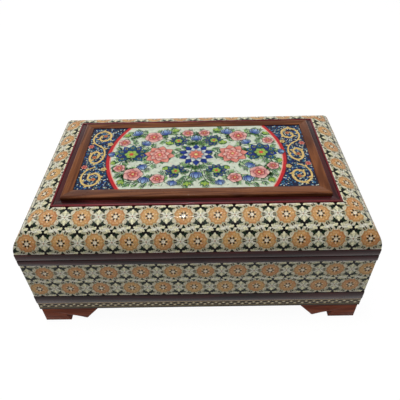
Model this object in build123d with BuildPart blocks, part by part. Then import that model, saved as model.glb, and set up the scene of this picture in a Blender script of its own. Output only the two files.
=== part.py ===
from build123d import *
from math import radians, tan
import os

# Khatam jewelry box, in millimetres. X runs along the front, +Y to the hinged back, +Z up.
# The origin is the middle of the footprint, on the surface that the feet stand on.

# Plan of the box over its rim strips
box_width = 220.0
box_depth = 138.0

# Heights of the bands, from the table upwards
foot_height = 14.6
chain_height = 7.2
lower_band_height = 7.8
base_khatam_height = 31.6
base_rim_height = 4.65
seam_gap = 0.3
lid_rim_height = 5.35

# Carcase: walls, bottom board and the veneers on them
wall_thickness = 8.0
veneer_thickness = 2.0
veneer_setback = 0.4
bottom_thickness = 5.0
bottom_rebate = 4.0

# Lid: the curved khatam, the rails under it and the board between them
khatam_rise = 19.0
khatam_reach = 21.0
khatam_sweep = 90.0
rail_edge_height = 7.3
tongue_thickness = 2.4
tongue_depth = 3.0

# Mouldings round the painted panel, heights taken above the top of the khatam
bead_width = 1.4
bead_proud = 1.3
ledge_width = 3.9
ledge_proud = 0.8
bar_width = 6.6
bar_proud = 3.5
bar_round = 1.2
panel_thickness = 3.0
panel_proud = 2.9

# Bracket feet
foot_setback = 1.0
foot_thickness = 7.0
foot_length = 41.0
foot_pad = 19.0
notch_height = 6.8
notch_undercut = 2.8
lobe_reach = 30.5
lobe_clearance = 2.1
lobe_round = 1.2
lobe_dip = 0.3
underside_wave = 0.5

# Linings
lining_thickness = 1.2
lining_drop = 1.5

# Butt hinges, their middles set in from the ends of the box
hinge_inset = 45.0
hinge_length = 24.0
axis_setback = 3.4
leaf_width = 5.6
leaf_thickness = 1.0
knuckle_radius = 1.9
knuckle_count = 3
pin_radius = 0.8
pin_clearance = 0.05
pin_head_radius = 1.4
pin_head_thickness = 0.5
running_gap = 0.3
mortise_gap = 0.1
stop_angle = 102.0
bevel_overrun = 1.0

# Countersunk screws of the hinges
screw_spacing = 14.0
screw_length = 8.0
screw_radius = 0.7
screw_head_radius = 1.25
screw_tip_length = 1.5
screw_tip_radius = 0.15
pilot_clearance = 0.03
slot_width = 0.35
slot_depth = 0.3

# Heights worked out from the sizes above
lower_band_bottom = foot_height + chain_height
base_khatam_bottom = lower_band_bottom + lower_band_height
base_rim_bottom = base_khatam_bottom + base_khatam_height
base_rim_top = base_rim_bottom + base_rim_height
axis_height = base_rim_top + seam_gap / 2
lid_rim_bottom = base_rim_top + seam_gap
lid_rim_top = lid_rim_bottom + lid_rim_height
khatam_top = lid_rim_top + khatam_rise
rail_top = khatam_top - veneer_thickness
lid_ceiling = rail_top - rail_edge_height
tongue_bottom = lid_ceiling + (rail_edge_height - tongue_thickness) / 2
panel_top = khatam_top + panel_proud
panel_bottom = panel_top - panel_thickness
floor_top = foot_height + bottom_thickness
base_lining_top = base_rim_top - lining_drop
lid_lining_bottom = lid_rim_bottom + lining_drop

# Distances inwards from the outer face of the rim strips
wall_face = veneer_setback + veneer_thickness
inner_face = wall_face + wall_thickness
khatam_edge = veneer_setback + khatam_reach
ledge_start = khatam_edge + bead_width
bar_start = ledge_start + ledge_width
panel_start = bar_start + bar_width
axis_y = box_depth / 2 - axis_setback
hinge_places = [hinge_inset - box_width / 2, box_width / 2 - hinge_inset]

up = Vector(0, 0, 1)
outward = {
    "front": Vector(0, -1, 0),
    "right": Vector(1, 0, 0),
    "back": Vector(0, 1, 0),
    "left": Vector(-1, 0, 0),
}
hinged_sides = ("right", "back", "left")


def half_length(side):
    return (box_width if side in ("front", "back") else box_depth) / 2


def face_distance(side):
    return (box_depth if side in ("front", "back") else box_width) / 2


def along(side):
    return up.cross(outward[side])


def section_plane(side):
    # Local x runs inwards from the outer face, local y is the height
    origin = outward[side] * face_distance(side)
    return Plane(origin=origin, x_dir=-outward[side], z_dir=along(side))


def mitre(side, ends=(1, -1)):
    for end in ends:
        corner = outward[side] * face_distance(side) + along(side) * end * half_length(side)
        split(bisect_by=Plane(origin=corner, z_dir=along(side) * end - outward[side]), keep=Keep.BOTTOM)


def finish(piece, name):
    piece.part.label = name
    export_step(piece.part, f"parts/{name}.step")


def finish_group(pieces, name):
    # Separate solids that share one node
    together = Compound(label=name, children=[piece.part for piece in pieces])
    export_step(together, f"parts/{name}.step")


def straight_strip(side, start, end, bottom, top):
    # A mitred length with a rectangular section, added to the open part
    with BuildSketch(section_plane(side)) as section:
        with BuildLine():
            Polyline((start, bottom), (end, bottom), (end, top), (start, top), close=True)
        make_face()
    extrude(section.sketch, amount=half_length(side), both=True)
    mitre(side)


def board(start, bottom, top):
    # A flat board that ends the same distance inside all four faces, added to the open part
    with BuildSketch(Plane.XY.offset(bottom)) as plan:
        Rectangle(box_width - 2 * start, box_depth - 2 * start)
    extrude(plan.sketch, amount=top - bottom)


# Hinge cuts, where direction is 1 in the lid and -1 in the base


def hinge_length_with_heads():
    return hinge_length + 2 * (pin_head_thickness + running_gap)


def leaf_face(direction):
    return axis_height + direction * seam_gap / 2


def screw_planes(direction):
    flat_middle = axis_y - knuckle_radius - (leaf_width - knuckle_radius) / 2
    spots = [x + s * screw_spacing / 2 for x in hinge_places for s in (-1, 1)]
    return [
        Plane(origin=(x, flat_middle, leaf_face(direction)), x_dir=(1, 0, 0), z_dir=(0, 0, direction))
        for x in spots
    ]


def along_axis(x):
    return Location((x, axis_y, axis_height), (0, 90, 0))


def drill_pilot_holes(direction):
    for plane in screw_planes(direction):
        with Locations(plane.location):
            Cylinder(
                radius=screw_radius + pilot_clearance,
                height=screw_length + pilot_clearance,
                align=(Align.CENTER, Align.CENTER, Align.MIN),
                mode=Mode.SUBTRACT,
            )


def cut_stop_bevel(direction):
    # The bevelled back edges of lid and base meet when the lid is fully open
    overrun = axis_setback + bevel_overrun
    drop = direction * overrun * tan(radians(stop_angle / 2))
    with BuildSketch(Plane.YZ) as wedge:
        with BuildLine():
            Polyline(
                (axis_y, axis_height),
                (axis_y + overrun, axis_height),
                (axis_y + overrun, axis_height + drop),
                close=True,
            )
        make_face()
    extrude(wedge.sketch, amount=box_width, both=True, mode=Mode.SUBTRACT)


def cut_hinge_pockets(direction):
    for x in hinge_places:
        with Locations(along_axis(x)):
            Cylinder(knuckle_radius + running_gap, hinge_length_with_heads(), mode=Mode.SUBTRACT)
        mortise_width = leaf_width + mortise_gap
        mortise_middle = axis_y - mortise_width / 2
        with Locations((x, mortise_middle, leaf_face(direction) + direction * leaf_thickness / 2)):
            Box(hinge_length + 2 * mortise_gap, mortise_width, leaf_thickness, mode=Mode.SUBTRACT)


# Base carcase


def base_wall(side):
    with BuildPart() as wall:
        with BuildSketch(section_plane(side)):
            with BuildLine():
                Polyline(
                    (wall_face, foot_height),
                    (inner_face - bottom_rebate, foot_height),
                    (inner_face - bottom_rebate, floor_top),
                    (inner_face, floor_top),
                    (inner_face, base_rim_bottom),
                    (wall_face, base_rim_bottom),
                    close=True,
                )
            make_face()
        extrude(amount=half_length(side), both=True)
        mitre(side)
        if side == "back":
            drill_pilot_holes(-1)
    return wall


def bottom_board():
    with BuildPart() as bottom:
        board(inner_face - bottom_rebate, foot_height, floor_top)
    return bottom


# Inlaid and veneered bands of the base


def base_khatam(side):
    with BuildPart() as veneer:
        straight_strip(side, veneer_setback, wall_face, base_khatam_bottom, base_rim_bottom)
    return veneer


def chain_strip(side):
    with BuildPart() as strip:
        straight_strip(side, veneer_setback, wall_face, foot_height, lower_band_bottom)
    return strip


def lower_band(side):
    with BuildPart() as band:
        straight_strip(side, 0, wall_face, lower_band_bottom, base_khatam_bottom)
    return band


def base_rim(side):
    with BuildPart() as rim:
        straight_strip(side, 0, inner_face, base_rim_bottom, base_rim_top)
        if side in hinged_sides:
            cut_stop_bevel(-1)
        if side == "back":
            cut_hinge_pockets(-1)
            drill_pilot_holes(-1)
    return rim


# Bracket feet, each of two halves that meet in a mitre under the corner


def foot_outline():
    # Local x runs along the side away from the corner
    pad_end = (foot_pad, 0)
    notch_top = (foot_pad - notch_undercut, notch_height)
    lobe_tip = (lobe_reach, lobe_clearance)
    slope_run = foot_length - lobe_reach
    slope_rise = foot_height - lobe_clearance
    lobe_end = (
        lobe_reach + lobe_round,
        lobe_clearance + lobe_round * slope_rise / slope_run,
    )
    lobe_start = (
        lobe_reach - lobe_round,
        lobe_clearance + lobe_round * (notch_height - lobe_clearance) / (lobe_reach - foot_pad),
    )
    wave_middle = (
        (notch_top[0] + lobe_start[0]) / 2,
        (notch_top[1] + lobe_start[1]) / 2 + underside_wave,
    )
    lobe_middle = (lobe_reach, lobe_clearance + lobe_dip)
    Polyline((0, foot_height), (0, 0), pad_end, notch_top)
    ThreePointArc(notch_top, wave_middle, lobe_start)
    ThreePointArc(lobe_start, lobe_middle, lobe_end)
    Polyline(lobe_end, (foot_length, foot_height), (0, foot_height))


def foot_half(side, end):
    corner = outward[side] * face_distance(side) + along(side) * end * half_length(side)
    face = Plane(
        origin=corner - outward[side] * foot_setback,
        x_dir=along(side) * -end,
        z_dir=(along(side) * -end).cross(up),
    )
    with BuildPart() as half:
        with BuildSketch(face):
            with BuildLine():
                foot_outline()
            make_face()
        extrude(amount=foot_thickness, dir=-outward[side])
        mitre(side, ends=(end,))
    return half


# Lid carcase and khatam


def khatam_arc(inset):
    # The lid's side is a quarter of an ellipse, from upright at the rim to level at the ledge
    EllipticalCenterArc(
        (khatam_edge, lid_rim_top),
        khatam_reach - inset,
        khatam_rise - inset,
        start_angle=90,
        arc_size=khatam_sweep,
    )


def lid_rail(side):
    groove_end = khatam_edge - tongue_depth
    tongue_top = tongue_bottom + tongue_thickness
    with BuildPart() as rail:
        with BuildSketch(section_plane(side)):
            with BuildLine():
                khatam_arc(veneer_thickness)
                Polyline(
                    (wall_face, lid_rim_top),
                    (inner_face, lid_rim_top),
                    (inner_face, lid_ceiling),
                    (khatam_edge, lid_ceiling),
                    (khatam_edge, tongue_bottom),
                    (groove_end, tongue_bottom),
                    (groove_end, tongue_top),
                    (khatam_edge, tongue_top),
                    (khatam_edge, rail_top),
                )
            make_face()
        extrude(amount=half_length(side), both=True)
        mitre(side)
        if side == "back":
            drill_pilot_holes(1)
    return rail


def lid_khatam(side):
    with BuildPart() as veneer:
        with BuildSketch(section_plane(side)):
            with BuildLine():
                khatam_arc(0)
                Line((veneer_setback, lid_rim_top), (wall_face, lid_rim_top))
                khatam_arc(veneer_thickness)
                Line((khatam_edge, rail_top), (khatam_edge, khatam_top))
            make_face()
        extrude(amount=half_length(side), both=True)
        mitre(side)
    return veneer


def lid_board():
    with BuildPart() as lid_panel:
        board(khatam_edge, lid_ceiling, rail_top)
        board(khatam_edge - tongue_depth, tongue_bottom, tongue_bottom + tongue_thickness)
        board(panel_start, rail_top, panel_bottom)
    return lid_panel


def lid_rim(side):
    with BuildPart() as rim:
        straight_strip(side, 0, inner_face, lid_rim_bottom, lid_rim_top)
        if side in hinged_sides:
            cut_stop_bevel(1)
        if side == "back":
            cut_hinge_pockets(1)
            drill_pilot_holes(1)
    return rim


# Mouldings round the painted panel


def red_bead(side):
    radius = bead_width / 2
    round_start = khatam_top + bead_proud - radius
    with BuildPart() as bead:
        with BuildSketch(section_plane(side)):
            with BuildLine():
                Polyline(
                    (khatam_edge, round_start),
                    (khatam_edge, rail_top),
                    (ledge_start, rail_top),
                    (ledge_start, round_start),
                )
                ThreePointArc(
                    (ledge_start, round_start),
                    (khatam_edge + radius, round_start + radius),
                    (khatam_edge, round_start),
                )
            make_face()
        extrude(amount=half_length(side), both=True)
        mitre(side)
    return bead


def lid_ledge(side):
    with BuildPart() as ledge:
        straight_strip(side, ledge_start, bar_start, rail_top, khatam_top + ledge_proud)
    return ledge


def frame_bar(side):
    bar_top = khatam_top + bar_proud
    with BuildPart() as bar:
        with BuildSketch(section_plane(side)):
            with BuildLine():
                Polyline(
                    (bar_start + bar_round, bar_top),
                    (panel_start, bar_top),
                    (panel_start, rail_top),
                    (bar_start, rail_top),
                    (bar_start, bar_top - bar_round),
                )
                RadiusArc((bar_start, bar_top - bar_round), (bar_start + bar_round, bar_top), bar_round)
            make_face()
        extrude(amount=half_length(side), both=True)
        mitre(side)
    return bar


def painted_panel():
    with BuildPart() as panel:
        board(panel_start, panel_bottom, panel_top)
    return panel


# Linings: velvet on card, glued to the wood


def flat_lining(bottom):
    with BuildPart() as lining:
        board(inner_face, bottom, bottom + lining_thickness)
    return lining


def wall_lining(side, bottom, top):
    with BuildPart() as lining:
        straight_strip(side, inner_face, inner_face + lining_thickness, bottom, top)
    return lining


# Hinges


def knuckle_run(index):
    length = (hinge_length - (knuckle_count - 1) * running_gap) / knuckle_count
    return length, (index - (knuckle_count - 1) / 2) * (length + running_gap)


def hinge_leaf(x, direction, own, other):
    # Three knuckles: the base leaf has the outer two and the lid leaf the middle one
    with BuildPart() as leaf:
        plate_middle = leaf_face(direction) + direction * leaf_thickness / 2
        with Locations((x, axis_y - leaf_width / 2, plate_middle)):
            Box(hinge_length, leaf_width, leaf_thickness)
        for index in other:
            length, offset = knuckle_run(index)
            notch_depth = knuckle_radius + running_gap
            with Locations((x + offset, axis_y - notch_depth / 2, plate_middle)):
                Box(length + 2 * running_gap, notch_depth, leaf_thickness, mode=Mode.SUBTRACT)
        for index in own:
            length, offset = knuckle_run(index)
            with Locations(along_axis(x + offset)):
                Cylinder(knuckle_radius, length)
        with Locations(along_axis(x)):
            Cylinder(pin_radius + pin_clearance, hinge_length, mode=Mode.SUBTRACT)
        for plane in screw_planes(direction):
            if abs(plane.origin.X - x) < hinge_length / 2:
                with Locations(plane.location):
                    Cylinder(
                        screw_radius + pilot_clearance,
                        leaf_thickness,
                        align=(Align.CENTER, Align.CENTER, Align.MIN),
                        mode=Mode.SUBTRACT,
                    )
                    Cone(
                        screw_head_radius,
                        screw_radius,
                        screw_head_radius - screw_radius,
                        align=(Align.CENTER, Align.CENTER, Align.MIN),
                        mode=Mode.SUBTRACT,
                    )
    return leaf


def hinge_pin(x):
    with BuildPart() as pin:
        with Locations(along_axis(x)):
            Cylinder(pin_radius, hinge_length)
        for end in (-1, 1):
            head_middle = end * (hinge_length + pin_head_thickness) / 2
            with Locations(along_axis(x + head_middle)):
                Cylinder(pin_head_radius, pin_head_thickness)
    return pin


def hinge_screws(direction):
    stands = (Align.CENTER, Align.CENTER, Align.MIN)
    head_height = screw_head_radius - screw_radius
    shank_length = screw_length - head_height - screw_tip_length
    with BuildPart() as screws:
        for plane in screw_planes(direction):
            with Locations(plane.location):
                Cone(screw_head_radius, screw_radius, head_height, align=stands)
            with Locations(plane.offset(head_height).location):
                Cylinder(screw_radius, shank_length, align=stands)
            with Locations(plane.offset(head_height + shank_length).location):
                Cone(screw_radius, screw_tip_radius, screw_tip_length, align=stands)
            with Locations(plane.location):
                Box(2 * screw_head_radius, slot_width, slot_depth, align=stands, mode=Mode.SUBTRACT)
    return screws


os.makedirs("parts", exist_ok=True)

for side in outward:
    finish(base_wall(side), f"{side}_wall")
    finish(base_khatam(side), f"base_khatam_{side}")
    finish(chain_strip(side), f"chain_strip_{side}")
    finish(lower_band(side), f"lower_band_{side}")
    finish(base_rim(side), f"base_rim_{side}")
    finish(lid_rim(side), f"lid_rim_{side}")
    finish(lid_rail(side), f"lid_rail_{side}")
    finish(lid_khatam(side), f"lid_khatam_{side}")
    finish(lid_ledge(side), f"lid_ledge_{side}")
    finish(frame_bar(side), f"frame_bar_{side}")

finish(bottom_board(), "bottom_board")
finish(lid_board(), "lid_board")
finish(painted_panel(), "painted_panel")
finish_group([red_bead(side) for side in outward], "red_bead")

# Each corner is named by the side it ends and the side that starts there
corners = {"front_right": ("front", "right"), "back_right": ("right", "back"),
           "back_left": ("back", "left"), "front_left": ("left", "front")}
for corner, (ending, starting) in corners.items():
    finish_group([foot_half(ending, 1), foot_half(starting, -1)], f"foot_{corner}")

finish(flat_lining(floor_top), "floor_lining")
finish(flat_lining(lid_ceiling - lining_thickness), "lid_lining")
base_linings = [wall_lining(side, floor_top + lining_thickness, base_lining_top) for side in outward]
lid_linings = [wall_lining(side, lid_lining_bottom, lid_ceiling - lining_thickness) for side in outward]
finish_group(base_linings, "wall_linings")
finish_group(lid_linings, "lid_side_linings")

for name, x in zip(("left", "right"), hinge_places):
    finish(hinge_leaf(x, -1, own=(0, 2), other=(1,)), f"hinge_lower_leaf_{name}")
    finish(hinge_leaf(x, 1, own=(1,), other=(0, 2)), f"hinge_upper_leaf_{name}")
    finish(hinge_pin(x), f"hinge_pin_{name}")
finish(hinge_screws(-1), "base_hinge_screws")
finish(hinge_screws(1), "lid_hinge_screws")
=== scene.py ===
import random
from math import atan2, ceil, cos, degrees, dist, hypot, pi, radians, sin, sqrt, tau

import bmesh
import bpy
from mathutils import Matrix, Vector


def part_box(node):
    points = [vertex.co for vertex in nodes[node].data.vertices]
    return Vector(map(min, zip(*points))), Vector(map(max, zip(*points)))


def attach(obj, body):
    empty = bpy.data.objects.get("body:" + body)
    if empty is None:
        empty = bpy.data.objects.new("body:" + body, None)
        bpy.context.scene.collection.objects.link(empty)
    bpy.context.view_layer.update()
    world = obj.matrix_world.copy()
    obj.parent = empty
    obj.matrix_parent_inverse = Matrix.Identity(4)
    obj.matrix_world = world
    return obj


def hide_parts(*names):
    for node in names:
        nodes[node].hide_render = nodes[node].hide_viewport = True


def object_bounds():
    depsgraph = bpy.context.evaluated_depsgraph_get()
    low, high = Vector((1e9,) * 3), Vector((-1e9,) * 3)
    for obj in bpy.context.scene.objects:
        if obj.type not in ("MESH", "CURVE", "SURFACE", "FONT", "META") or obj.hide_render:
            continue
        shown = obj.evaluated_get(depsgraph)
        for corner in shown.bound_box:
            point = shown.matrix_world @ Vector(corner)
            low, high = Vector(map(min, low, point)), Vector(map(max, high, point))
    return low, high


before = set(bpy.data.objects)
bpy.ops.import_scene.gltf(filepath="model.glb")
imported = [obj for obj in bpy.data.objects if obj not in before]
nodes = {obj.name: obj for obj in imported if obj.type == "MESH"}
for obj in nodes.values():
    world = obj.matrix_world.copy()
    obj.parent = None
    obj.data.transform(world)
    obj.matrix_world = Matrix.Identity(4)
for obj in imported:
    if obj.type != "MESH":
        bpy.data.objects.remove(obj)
cadLow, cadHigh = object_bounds()
mm = 0.001
sideTurns = {"front": 0, "right": 90, "back": 180, "left": 270}  # degrees about Z from the front
triangleRise = sqrt(0.75)  # height of an even triangle with sides of 1


def colour(red, green, blue):  # written as 0 to 255, handed on as linear light
    def linear(value):
        value = value / 255
        return value / 12.92 if value <= 0.04045 else ((value + 0.055) / 1.055) ** 2.4
    return (linear(red), linear(green), linear(blue), 1.0)


def palette(**colours):
    return {name: colour(*values) for name, values in colours.items()}


def addObject(name, data):
    made = bpy.data.objects.new(name, data)
    bpy.context.scene.collection.objects.link(made)
    return made


# Node helpers

def addNode(tree, kind, inputs=None, **settings):
    # Each input is a plain value or another node's output
    node = tree.nodes.new(kind)
    for name, value in settings.items():
        setattr(node, name, value)
    for name, value in (inputs or {}).items():
        if isinstance(value, bpy.types.NodeSocket):
            tree.links.new(value, node.inputs[name])
        else:
            node.inputs[name].default_value = value
    return node


def result(tree, kind, inputs=None, **settings):
    return addNode(tree, kind, inputs, **settings).outputs[0]


def mathNode(tree, operation, first, second=0.0):
    return result(tree, "ShaderNodeMath", {0: first, 1: second}, operation=operation)


def scaled(tree, vector, scale):
    return result(tree, "ShaderNodeVectorMath", {0: vector, "Scale": scale}, operation="SCALE")


def mixColours(tree, share, first, second):
    return addNode(tree, "ShaderNodeMix", {0: share, 6: first, 7: second}, data_type="RGBA").outputs[2]


def spread(tree, value, low, high, toLow=0.0, toHigh=1.0):
    inputs = {"Value": value, "From Min": low, "From Max": high, "To Min": toLow, "To Max": toHigh}
    return result(tree, "ShaderNodeMapRange", inputs)


def noise(tree, vector, scale, detail, extra=()):
    inputs = {"Vector": vector, "Scale": scale, "Detail": detail, **dict(extra)}
    return result(tree, "ShaderNodeTexNoise", inputs)


def objectPlace(tree):
    return addNode(tree, "ShaderNodeTexCoord").outputs["Object"]


def attribute(tree, name, output):
    return addNode(tree, "ShaderNodeAttribute", attribute_name=name).outputs[output]


def newMaterial(name, roughness, coat=0.0, specular=0.5, metallic=0.0):
    material = bpy.data.materials.new(name)
    material.use_nodes = True
    shader = material.node_tree.nodes["Principled BSDF"]
    values = {
        "Roughness": roughness, "Coat Weight": coat, "Coat Roughness": 0.05, "Specular IOR Level": specular,
        "Metallic": metallic,
    }
    for label, value in values.items():
        shader.inputs[label].default_value = value
    return material, material.node_tree, shader


def nodeGroup(name, treeKind, inputs, outputs):
    # inputs and outputs give each socket's name and kind
    group = bpy.data.node_groups.new(name, treeKind)
    for way, sockets in (("INPUT", inputs), ("OUTPUT", outputs)):
        for label, kind in sockets.items():
            group.interface.new_socket(label, in_out=way, socket_type="NodeSocket" + kind)
    return group, addNode(group, "NodeGroupInput").outputs, addNode(group, "NodeGroupOutput").inputs


def bumpInto(tree, shader, height, strength, distance):
    bump = addNode(tree, "ShaderNodeBump", {"Height": height, "Strength": strength, "Distance": distance})
    tree.links.new(bump.outputs[0], shader.inputs["Normal"])


# Shader groups

def makeWoodGrain():
    inputs = {"Vector": "Vector", "Light": "Color", "Dark": "Color", "Scale": "Float"}
    group, given, out = nodeGroup("woodGrain", "ShaderNodeTree", inputs, {"Color": "Color"})
    drawnOut = {0: given["Vector"], 1: (0.07, 1.0, 1.0)}  # the figure runs along the piece
    drawn = result(group, "ShaderNodeVectorMath", drawnOut, operation="MULTIPLY")
    sized = scaled(group, drawn, given["Scale"])
    figure = noise(group, sized, 90.0, 3.0, {"Distortion": 1.2})
    ringCount = 34.0
    rings = mathNode(group, "SINE", mathNode(group, "MULTIPLY", figure, ringCount))
    ringShare = spread(group, rings, -1.0, 1.0, 0.15, 0.75)
    pores = spread(group, noise(group, sized, 1300.0, 2.0), 0.42, 0.62)
    share = mathNode(group, "MULTIPLY", ringShare, spread(group, pores, 0.0, 1.0, 0.7, 1.0))
    drift = spread(group, noise(group, given["Vector"], 22.0, 2.0), 0.3, 0.7, -0.18, 0.18)
    share = mathNode(group, "ADD", share, drift)
    group.links.new(mixColours(group, share, given["Dark"], given["Light"]), out["Color"])
    return group


def makeLacquer():
    # The slight waviness and handling marks of a polished clear coat
    inputs = {"Vector": "Vector", "Smooth": "Float", "Worn": "Float"}
    outputs = {"Height": "Float", "Roughness": "Float"}
    group, given, out = nodeGroup("lacquer", "ShaderNodeTree", inputs, outputs)
    ripple = noise(group, given["Vector"], 150.0, 1.0)
    marks = noise(group, given["Vector"], 60.0, 5.0, {"Roughness": 0.7})
    group.links.new(ripple, out["Height"])
    group.links.new(spread(group, marks, 0.4, 0.7, given["Smooth"], given["Worn"]), out["Roughness"])
    return group


woodGrain = makeWoodGrain()
lacquer = makeLacquer()


# Materials

woods = {
    "darkLacqueredWood": {
        "light": colour(86, 32, 34), "dark": colour(24, 8, 10), "smooth": 0.2, "worn": 0.35,
    },
    "frameWood": {"light": colour(150, 92, 54), "dark": colour(84, 42, 22), "coat": 0.15},
    "footWood": {
        "light": colour(176, 92, 60), "dark": colour(104, 46, 30), "smooth": 0.35, "worn": 0.55,
        "coat": 0.05,
    },
    "carcaseWood": {
        "light": colour(205, 165, 115), "dark": colour(160, 118, 74), "smooth": 0.6, "worn": 0.8,
        "coat": 0.0, "specular": 0.3,
    },
    "redBead": {
        "light": colour(138, 22, 36), "dark": colour(98, 12, 24), "scale": 1.5, "smooth": 0.2, "worn": 0.3,
        "coat": 0.5,
    },
    "chainGround": {"light": colour(164, 146, 110), "dark": colour(118, 98, 68)},
}
inlayLook = {
    "lidCoat": 0.12, "baseCoat": 0.25, "smooth": 0.3, "worn": 0.45, "gold": colour(214, 170, 100),
    "copper": colour(198, 132, 84), "toneShare": 0.4, "stain": colour(196, 118, 66), "stainShare": 0.45,
}
tileLook = {"coat": 0.25, "chainSmooth": 0.25, "paintSmooth": 0.22, "wear": 0.15}
velvetLook = {
    "dark": colour(92, 8, 20), "light": colour(140, 22, 36), "sheen": 0.7, "sheenRoughness": 0.35,
    "sheenTint": colour(225, 90, 100), "pileDepth": 0.0003,
}
brassLook = {
    "hinge": colour(232, 186, 106), "screw": colour(222, 180, 108), "tarnish": colour(150, 110, 55),
    "scratchDepth": 0.0001,
}


def addLacquer(tree, shader, smooth, worn):
    inputs = {"Vector": objectPlace(tree), "Smooth": smooth, "Worn": worn}
    outputs = addNode(tree, "ShaderNodeGroup", inputs, node_tree=lacquer).outputs
    tree.links.new(outputs["Roughness"], shader.inputs["Roughness"])
    bumpInto(tree, shader, outputs["Height"], 0.05, 0.0004)


def mottled(tree, colours, scale, detail, darkest):
    # Colours made a little lighter and darker by fine noise
    shade = spread(tree, noise(tree, objectPlace(tree), scale, detail), 0.3, 0.7, darkest, 1.1)
    return scaled(tree, colours, shade)


def woodMaterial(name, light, dark, scale=1.0, smooth=0.25, worn=0.4, coat=0.25, specular=0.05):
    material, tree, shader = newMaterial(name, smooth, coat=coat, specular=specular)
    inputs = {"Vector": attribute(tree, "grain", "Vector"), "Light": light, "Dark": dark, "Scale": scale}
    grain = addNode(tree, "ShaderNodeGroup", inputs, node_tree=woodGrain).outputs
    tree.links.new(grain["Color"], shader.inputs["Base Color"])
    addLacquer(tree, shader, smooth, worn)
    return material


def makeKhatamMaterial(name, coat):
    look = inlayLook
    material, tree, shader = newMaterial(name, look["smooth"], coat=coat, specular=0.05)
    petal = attribute(tree, "petal", "Fac")
    warm = mixColours(tree, attribute(tree, "tone", "Fac"), look["gold"], look["copper"])
    warmShare = mathNode(tree, "MULTIPLY", petal, look["toneShare"])
    toned = mixColours(tree, warmShare, attribute(tree, "tileColour", "Color"), warm)
    stain = spread(tree, noise(tree, objectPlace(tree), 170.0, 1.0), 0.5, 0.66, 0.0, look["stainShare"])
    toned = mixColours(tree, mathNode(tree, "MULTIPLY", petal, stain), toned, look["stain"])
    tree.links.new(mottled(tree, toned, 900.0, 2.0, 0.84), shader.inputs["Base Color"])
    addLacquer(tree, shader, look["smooth"], look["worn"])
    return material


def makeTileMaterial(name, attributeName, smooth):
    material, tree, shader = newMaterial(name, smooth, coat=tileLook["coat"], specular=0.05)
    colours = attribute(tree, attributeName, "Color")
    tree.links.new(mottled(tree, colours, 420.0, 3.0, 0.86), shader.inputs["Base Color"])
    addLacquer(tree, shader, smooth, smooth + tileLook["wear"])
    return material


def makeVelvet():
    look = velvetLook
    material, tree, shader = newMaterial("velvet", 0.95, specular=0.1)
    place = objectPlace(tree)
    nap = spread(tree, noise(tree, place, 35.0, 4.0, {"Roughness": 0.6}), 0.35, 0.65)
    tree.links.new(mixColours(tree, nap, look["dark"], look["light"]), shader.inputs["Base Color"])
    shader.inputs["Sheen Weight"].default_value = look["sheen"]
    shader.inputs["Sheen Roughness"].default_value = look["sheenRoughness"]
    shader.inputs["Sheen Tint"].default_value = look["sheenTint"]
    bumpInto(tree, shader, noise(tree, place, 2600.0, 2.0), 0.5, look["pileDepth"])
    return material


def makeBrass(name, bright):
    material, tree, shader = newMaterial(name, 0.3, metallic=1.0)
    place = objectPlace(tree)
    tarnish = noise(tree, place, 130.0, 4.0)
    metal = mixColours(tree, spread(tree, tarnish, 0.4, 0.7), bright, brassLook["tarnish"])
    tree.links.new(metal, shader.inputs["Base Color"])
    tree.links.new(spread(tree, tarnish, 0.35, 0.7, 0.2, 0.45), shader.inputs["Roughness"])
    bumpInto(tree, shader, noise(tree, place, 2200.0, 2.0), 0.15, brassLook["scratchDepth"])
    return material


lidKhatam = makeKhatamMaterial("khatamInlayLid", inlayLook["lidCoat"])
baseKhatam = makeKhatamMaterial("khatamInlayBase", inlayLook["baseCoat"])
chainMaterial = makeTileMaterial("chainInlay", "tileColour", tileLook["chainSmooth"])
paintMaterial = makeTileMaterial("paint", "paint", tileLook["paintSmooth"])
wood = {name: woodMaterial(name, **look) for name, look in woods.items()}
velvet = makeVelvet()
hingeBrass = makeBrass("hingeBrass", brassLook["hinge"])
screwBrass = makeBrass("screwBrass", brassLook["screw"])
print("materials ready")


# Meshes made from the fixed model's own pieces

easing = {"weld": 0.001, "flatDegrees": 0.5, "sharpDegrees": 35, "segments": 2}  # weld in millimetres
# Strips that go round the box: node, body, slot, wood, eased edge in mm and grain seed
dark = ("dark_lacquered_wood", wood["darkLacqueredWood"])
strips = {
    "baseRim": ("base_rim", "base", *dark, 0.45, 0), "lidRim": ("lid_rim", "lid", *dark, 0.45, 10),
    "lowerBand": ("lower_band", "base", *dark, 0.45, 20), "lidLedge": ("lid_ledge", "lid", *dark, 0.3, 30),
    "frameBar": ("frame_bar", "lid", "frame_wood", wood["frameWood"], 0.2, 40),
}
# Hinge pieces on both hands, then single ones: node, body, slot, material and eased edge in mm
hingeParts = {
    "lowerLeaf": ("hinge_lower_leaf", "base", "hinge_brass", hingeBrass, 0.12),
    "upperLeaf": ("hinge_upper_leaf", "lid", "hinge_brass", hingeBrass, 0.12),
    "hingePin": ("hinge_pin", "base", "hinge_brass", hingeBrass, 0.15),
}
fittings = {
    "baseScrews": ("base_hinge_screws", "base", "screw_brass", screwBrass, 0.05),
    "lidScrews": ("lid_hinge_screws", "lid", "screw_brass", screwBrass, 0.05),
    "floorVelvet": ("floor_lining", "base", "velvet_lining", velvet, 0.5),
    "wallVelvet": ("wall_linings", "base", "velvet_lining", velvet, 0.5),
    "lidVelvet": ("lid_lining", "lid", "velvet_lining", velvet, 0.5),
    "lidSideVelvet": ("lid_side_linings", "lid", "velvet_lining", velvet, 0.5),
}
footEdge, beadEdge = 0.35, 0.1
footSeed, beadSeed, carcaseSeed, chainSeed, panelSeed = 50, 60, 70, 80, 90


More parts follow.
